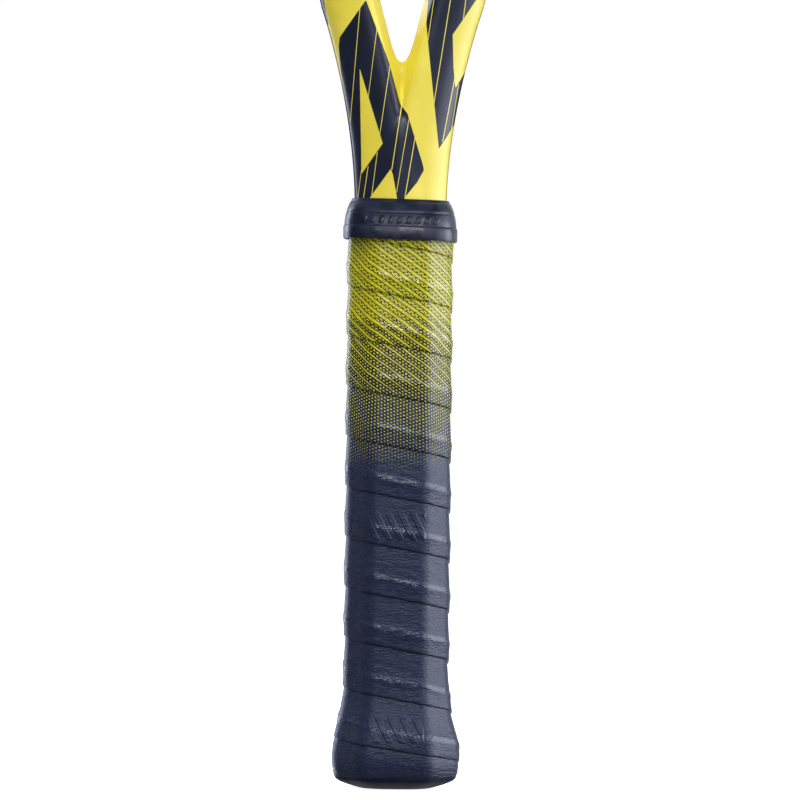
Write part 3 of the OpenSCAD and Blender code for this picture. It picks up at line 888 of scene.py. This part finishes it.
# ======== handle
# how much wider than its straight part the handle is, as (height, extra width)
FLARE = [(0, 4.4), (GRIP_LOW, 5.9), (6, 7.0), (9, 7.7), (13.5, 7.7), (17.5, 6.6), (21, 4.6), (24.5, 3.0),
         (28, 1.9), (32, 0.9), (38, 0)]


def flare_at(z):
    """The extra width, smoothed over a few millimetres."""
    return sum(along(FLARE, z + d) for d in (-2, -1, 0, 1, 2)) / 5 if z > GRIP_LOW + 2 else along(FLARE, z)


@lru_cache(maxsize=None)
def octagon(width_tenths):
    """A rounded octagon's length and its points, from the right over the front.

    Each is (share of the length, (x, y, outward x, outward y)).
    """
    w = width_tenths / 10
    d = w + GRIP_D - GRIP_W
    c, hx, hy = BEVEL * w, w / 2, d / 2
    corners = [(hx, hy - c), (hx, c - hy), (hx - c, -hy), (c - hx, -hy)]
    corners += [(-x, -y) for x, y in corners]
    points = [Vector((hx, 0))]
    for i in range(1, 9):
        a, p, b = (Vector(corners[j % 8]) for j in (i - 1, i, i + 1))
        half = (a - p).angle(b - p) / 2
        points += round_corner(a, p, b, CORNER_R / tan(half), 5)
    points.append(points[0])
    points = points[:1] + [p for before, p in zip(points, points[1:]) if (p - before).length > 1e-6]
    table, run = [], 0.0
    for before, p, after in zip([None] + points, points, points[1:] + [points[1]]):
        run += (p - before).length if before else 0.0
        way = (after - (before or points[-2])).normalized()
        table.append((run, Vector((p.x, p.y, -way.y, way.x))))
    return run, [(at / run, spot) for at, spot in table]


def on_octagon(share, width):
    """The point and outward way at a share of the outline."""
    spot = along(octagon(round(width * 10))[1], share % 1.0)
    return spot.xy, spot.zw.normalized()


# the strip's face across its width, as (distance from its lower edge, height over the handle)
STRIP_FACE = [(0, -0.5), (0, 0.1), (0.05, 0.34), (0.18, 0.5), (0.45, 0.58), (1.2, 0.6), (2.6, 0.6),
              (4.0, 0.58), (RIDGE - 0.8, 0.57), (RIDGE, 0.56), (RIDGE + 0.5, 0.55), (RIDGE + 1, 0.53),
              (RIDGE + 1.6, 0.5), (8.2, 0.47), (9.5, 0.42), (12, 0.3), (14.5, 0.16), (PITCH, 0.0),
              (PITCH + LAP, -0.15)]


def turn_edge(turn):
    """The height of the strip's lower edge. It is wound a little more steeply over the front."""
    return FIRST_EDGE + PITCH * turn - 0.6 * cos(tau * turn)


def grip_shape():
    """The strip wound round the handle from the butt up, each turn over the last one's upper edge."""
    rings, wraps, turn = [], [], -1.2
    perimeter = octagon(round(GRIP_W * 10))[0]
    while turn_edge(turn) < GRIP_TOP - 1:
        edge = turn_edge(turn)
        low, high = max(edge, GRIP_LOW), min(edge + PITCH + LAP, GRIP_TOP)
        if high - low > 1.5:
            ring = []
            for t, h in STRIP_FACE:
                if edge < low:
                    t = lerp(low - edge, PITCH + LAP, t / (PITCH + LAP)) if t > 0.5 else low - edge + t
                z = min(edge + t, high)
                if t > 1:
                    spot = Vector((turn * perimeter * 0.11, t * 0.35, 3.0))
                    h += 0.22 * hill(t, RIDGE, 3.4) * (0.75 + 0.9 * noise.noise(spot))
                    h += 0.12 * hill(t, RIDGE, 1.6) * max(0.0, 0.8 + 1.4 * noise.noise(spot * 3))
                    h += 0.09 * noise.noise(Vector((turn * perimeter * 0.3, t * 0.9, 11.0)))
                if edge < GRIP_LOW:
                    h = min(h, 0.42) if t - (low - edge) > 0.3 else h - 0.1
                p, out = on_octagon(turn, GRIP_W + flare_at(z))
                ring.append((p.x + out.x * h, p.y + out.y * h, z))
                wraps.append((-turn * perimeter, z, t))
            rings.append(ring)
        turn += 1 / 150
    verts = [p for ring in rings for p in ring]
    return (verts, grid_faces(len(rings), len(STRIP_FACE), closed=False)), wraps


def add_wrap(piece, verts, wraps):
    """Stores each point's place on the strip for its printed pattern."""
    near = {tuple(round(c, 2) for c in v): w for v, w in zip(verts, wraps)}
    attribute = piece.data.attributes.new("wrap", "FLOAT_VECTOR", "POINT")
    for i, vertex in enumerate(piece.data.vertices):
        key = tuple(round(c / MM, 2) for c in vertex.co)
        attribute.data[i].vector = near.get(key, (0, key[2], 0))


def octagon_ring(width, z, n=96, shrink=0.0):
    spots = [on_octagon(i / n, width) for i in range(n)]
    return [(*(p - out * shrink), z) for p, out in spots]


DOOR_W, DOOR_D, DOOR_Z, DOOR_T = 17.2, 13.2, 0.4, 1.5
SLOT_W, SLOT_D = 9.4, 4.2
SQUARE = ((-1, -1), (1, -1), (1, 1), (-1, 1))


def soft_rectangle(w, d, r, z, n=96):
    """A rectangle with round corners, its points spread by angle from the right over the front."""
    ring = []
    for i in range(n):
        way = heading(90 + 360 * i / n)
        p = way * min(w / 2 / max(1e-9, abs(way.x)), d / 2 / max(1e-9, abs(way.y)))
        corner = Vector((copysign(w / 2 - r, p.x), copysign(d / 2 - r, p.y)))
        if abs(p.x) > w / 2 - r and abs(p.y) > d / 2 - r:
            b, c = way.dot(corner), corner.length_squared - r * r
            p = way * (b + sqrt(max(0.0, b * b - c)))
        ring.append((p.x, p.y, z))
    return ring


def butt_cap_shape():
    """The cap's domed end, the pocket for its door, and its skirt under the grip."""
    skirt = GRIP_W - 2.5
    rings = [octagon_ring(skirt, 36, shrink=0.2), octagon_ring(skirt, 35)]
    rings += [octagon_ring(skirt + flare_at(z), z) for z in (30, 24, 20, 16, 12, 8, 5.5, GRIP_LOW + 0.4)]
    for z, width in ((GRIP_LOW + 0.3, 41.7), (3.9, 41.6), (3.3, 40.6), (2.7, 38.9), (2.1, 36.4), (1.5, 33.4),
                     (0.9, 29.9), (0.45, 26.8), (0.15, 24.6), (0.0, 23.4)):
        rings.append(octagon_ring(width, z))
    rings += [soft_rectangle(DOOR_W + gap, DOOR_D + gap, 2.0, z)
              for gap, z in ((1.2, 0.0), (0.5, 0.12), (0.2, 0.5), (0.2, 6.5))]
    return skin(rings)


def trap_door_shape():
    """The door: a plate with soft edges and a finger slot, with two snap legs."""
    rings = [(DOOR_W - cut, DOOR_D - cut, z) for cut, z in (
        (1.4, DOOR_T), (0.2, DOOR_T), (0.0, DOOR_T - 0.2), (0.0, 0.45), (0.3, 0.15), (0.9, 0.0), (3.2, 0.0),
        (3.6, 0.25))]
    rings += [(SLOT_W - cut, SLOT_D - cut, z) for cut, z in ((0.0, 0.25), (1.0, 0.25), (1.6, 0.4), (2, 1))]
    parts = [skin([soft_rectangle(w, d, min(1.8, 0.42 * d), DOOR_Z + z) for w, d, z in rings])]
    for side in (-1, 1):
        x = side * (DOOR_W / 2 - 0.8)
        parts.append(skin([[(x + sx * w / 2, sy * 3.0, DOOR_Z + DOOR_T + z) for sx, sy in SQUARE]
                           for w, z in ((1.6, 0.0), (1.6, 2.2), (2.1, 2.6), (1.9, 3.1), (1.0, 3.5))]))
    return joined(*parts)


def oval_ring(w, d, power, z, tilt, n=128):
    ring = []
    for a in (-tau * i / n for i in range(n)):
        x, y = w / 2 * curl(cos(a), power), d / 2 * curl(sin(a), power)
        ring.append((x, y, COLLAR_LOW + z - x * tan(radians(tilt))))
    return ring


# the collar's outside, from its lower edge up, as (height, width, depth, exponent)
COLLAR = [(0, 38.3, 34.4, 3.7), (0.12, 38.9, 35.0, 3.7), (0.6, 39.2, 35.2, 3.7), (4.1, 39.15, 35.1, 3.7),
          (4.5, 38.9, 34.8, 3.6), (4.75, 38.35, 34.3, 3.6), (5.1, 38.5, 34.3, 3.6), (6.9, 38.15, 33.7, 3.5),
          (8.6, 37.6, 32.6, 3.4), (9.0, 37.35, 32.2, 3.4), (9.2, 36.95, 31.7, 3.3), (9.5, 37.1, 31.7, 3.3),
          (10.6, 36.5, 30.5, 3.2), (12.2, 35.2, 28.3, 3.0), (12.9, 34.5, 26.9, 2.9), (13.05, 33.9, 26.2, 2.8),
          (13.5, 33.7, 25.8, 2.8), (13.9, 33.4, 25.3, 2.7), (14.0, 32.9, 24.8, 2.7)]


BAR_STEP, BAR_HALF, BAR_Z, BAR_TALL, BAR_LEAN = 3.1, 0.95, 6.8, 1.25, 0.45


def collar_shape():
    tilts = [COLLAR_TILT * (1 - 0.25 * z / 14) for z, *_ in COLLAR]
    outside = [oval_ring(w, d, p, z, t) for (z, w, d, p), t in zip(COLLAR, tilts)]
    inside = [oval_ring(w, d, p, z, COLLAR_TILT) for z, w, d, p in (
        (13.9, 32.3, 23.8, 2.7), (12, 32.2, 23.7, 2.7), (5, 36.6, 32.2, 3.3), (0.1, 37.2, 33.0, 3.5))]
    parts = [skin(outside + inside + outside[:1], caps=False)]
    parts += [collar_bar(side, k * BAR_STEP) for side in (-1, 1) for k in range(-4, 5)]
    return joined(*parts)


def collar_bar(side, middle):
    """One low slanted bar on the collar's band."""
    rings = []
    for grow, lift in ((0.0, -0.25), (0.0, 0.12), (-0.18, 0.26)):
        ring = []
        for sx, sz in SQUARE:
            z = BAR_Z + sz * (BAR_TALL + grow)
            x = middle + sx * (BAR_HALF + grow) + sz * BAR_LEAN
            w, d, power = 38.15 - (z - 6.9) * 0.35, 33.7 - (z - 6.9) * 0.6, 3.5
            y = d / 2 * (1 - min(0.97, abs(x) / (w / 2)) ** power) ** (1 / power) + lift
            ring.append((x, side * y, COLLAR_LOW + z - x * tan(radians(COLLAR_TILT))))
        rings.append(ring)
    return skin(rings)


# ======== the pieces
paint = racket_paint()
nylon = plastic("grommet_nylon", srgb(34, 38, 48), 0.32, 0.45)
guard_nylon = plastic("guard_nylon", srgb(26, 30, 42), 0.3, 0.42)
rubber = rubber_skin("collar_rubber", srgb(9, 15, 32))
cap_plastic = plastic("cap_plastic", srgb(37, 42, 62), 0.5, 0.62, Specular_IOR_Level=0.12)
door_plastic = plastic("door_plastic", srgb(52, 57, 74), 0.35, 0.48)
foam = plastic("pallet_foam", srgb(206, 200, 184), 0.7, 0.85, grain=0.5, depth=0.06)
tape = plastic("tape_vinyl", srgb(24, 25, 30), 0.4, 0.5)
steel = brushed("staple_steel", srgb(190, 190, 195))
mains_skin = string_skin("string_mains", srgb(24, 25, 28))
crosses_skin = string_skin("string_crosses", srgb(30, 31, 35))

piece_of("racket_frame", frame_shape(), paint, "frame", 48)
piece_of("throat_bow", bridge_shape(), paint, "throat_bridge", 48)
piece_of("tip_guard", guard_shape(), guard_nylon, "bumper_guard", 35)
for side, name in ((-1, "left"), (1, "right")):
    piece_of(f"side_strip_{name}", side_strip_shape(side), nylon, f"grommet_strip_{name}",
             35)
piece_of("throat_strip", throat_strip_shape(), nylon, "grommet_strip_throat", 35)
main_runs = bed_runs(top_holes, low_holes, 0, -1)
cross_runs = bed_runs(left_holes, right_holes, 1, 1)
piece_of("mains", laced(main_ties, main_runs), mains_skin, "main_string")
piece_of("crosses", laced(cross_ties, cross_runs), crosses_skin, "cross_string")
strip_shape, strip_wraps = grip_shape()
wound = piece_of("wound_grip", strip_shape, grip_skin(), "grip", weld=0.0)
add_wrap(wound, strip_shape[0], strip_wraps)
piece_of("domed_cap", butt_cap_shape(), cap_plastic, "butt_cap", 40)
piece_of("cap_door", trap_door_shape(), door_plastic, "trap_door", 35, body="trap_door")
piece_of("collar", collar_shape(), rubber, "rubber_collar", 50)

for node, material in (("handle_pallet", foam), ("butt_cap_staples", steel), ("grip_staple", steel),
                       ("finishing_tape", tape)):
    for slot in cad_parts[node].material_slots:
        slot.material = material

# ======== floor, light and camera
VIEW_W = 274.8  # the width that the camera sees at the racket
CENTRE = Vector((0.45, 0, 133.1))
LEAN = radians(0.546)
CAMERA_AWAY, SENSOR = 2000.0, 36.0


COOL, BLUE = (0.93, 0.97, 1.12), (0.8, 0.9, 1.25)


def area_light(name, place, size, power, colour=(1, 1, 1)):
    """A lamp turned to the part that the camera sees."""
    light = bpy.data.lights.new(name, "AREA")
    light.shape, light.size, light.size_y = "RECTANGLE", size[0] * MM, size[1] * MM
    light.energy, light.color = power, colour
    lamp = placed(name, light)
    lamp.location = Vector(place) * MM
    lamp.rotation_euler = (CENTRE * MM - lamp.location).to_track_quat("-Z", "Y").to_euler()
    lamp.visible_camera = False
    return lamp


area_light("key_right", (950, -660, 420), (520, 900), 6, COOL)
area_light("side_right", (1050, -20, 240), (700, 900), 11.5, COOL)
area_light("front_top", (60, -1080, 640), (240, 50), 3.6, COOL)
area_light("rim_left", (-640, 600, 200), (260, 900), 3.8, BLUE)
for soft in (area_light("top", (-120, -620, 1250), (1000, 800), 16.5),
             area_light("fill_left", (-1000, -500, 300), (600, 900), 4),
             area_light("fill_back", (300, 1200, 900), (900, 700), 9)):
    soft.visible_glossy = False

floor_mesh = bpy.data.meshes.new("floor")
floor_mesh.from_pydata([(30 * x, 30 * y, 0) for x, y in SQUARE], [], [(0, 1, 2, 3)])
floor = placed("floor", floor_mesh)
floor.location.z = -0.0002
white = Graph("floor_white")
dust = white.ramp(white.noise(300.0), 0.5, 0.55)
floor_mesh.materials.append(white.finish(srgb(250, 250, 250), dust, Emission_Color=(1, 1, 1, 1),
                                         Emission_Strength=0.86))
floor.visible_diffuse = floor.visible_glossy = False

# the camera sees plain white, and the light is weaker in front than behind
sky = Graph("studio", bpy.data.worlds)
scene.world = sky.owner
behind = sky.ramp(sky.parts(sky.value("TexCoord", output="Generated"))[1], 0.12, 0.8, 0.15, 0.85)
lit = sky.value("Background", {0: (0.9, 0.95, 1, 1), 1: behind})
seen = sky.value("Background", {0: (1, 1, 1, 1)})
camera_ray = sky.value("LightPath", output="Is Camera Ray")
sky.node("OutputWorld", {0: sky.value("MixShader", {0: camera_ray, 1: lit, 2: seen})})

camera_data = bpy.data.cameras.new("camera")
camera_data.sensor_width = SENSOR
camera_data.lens = SENSOR * CAMERA_AWAY / VIEW_W
camera_data.clip_end = 100
camera = placed("camera", camera_data)
camera.matrix_world = Matrix.Translation((CENTRE + Vector((0, -CAMERA_AWAY, 0))) * MM) @ \
    Matrix.Rotation(radians(90), 4, "X") @ Matrix.Rotation(LEAN, 4, "Z")
bpy.context.scene.camera = camera
scene.view_settings.view_transform = "Standard"
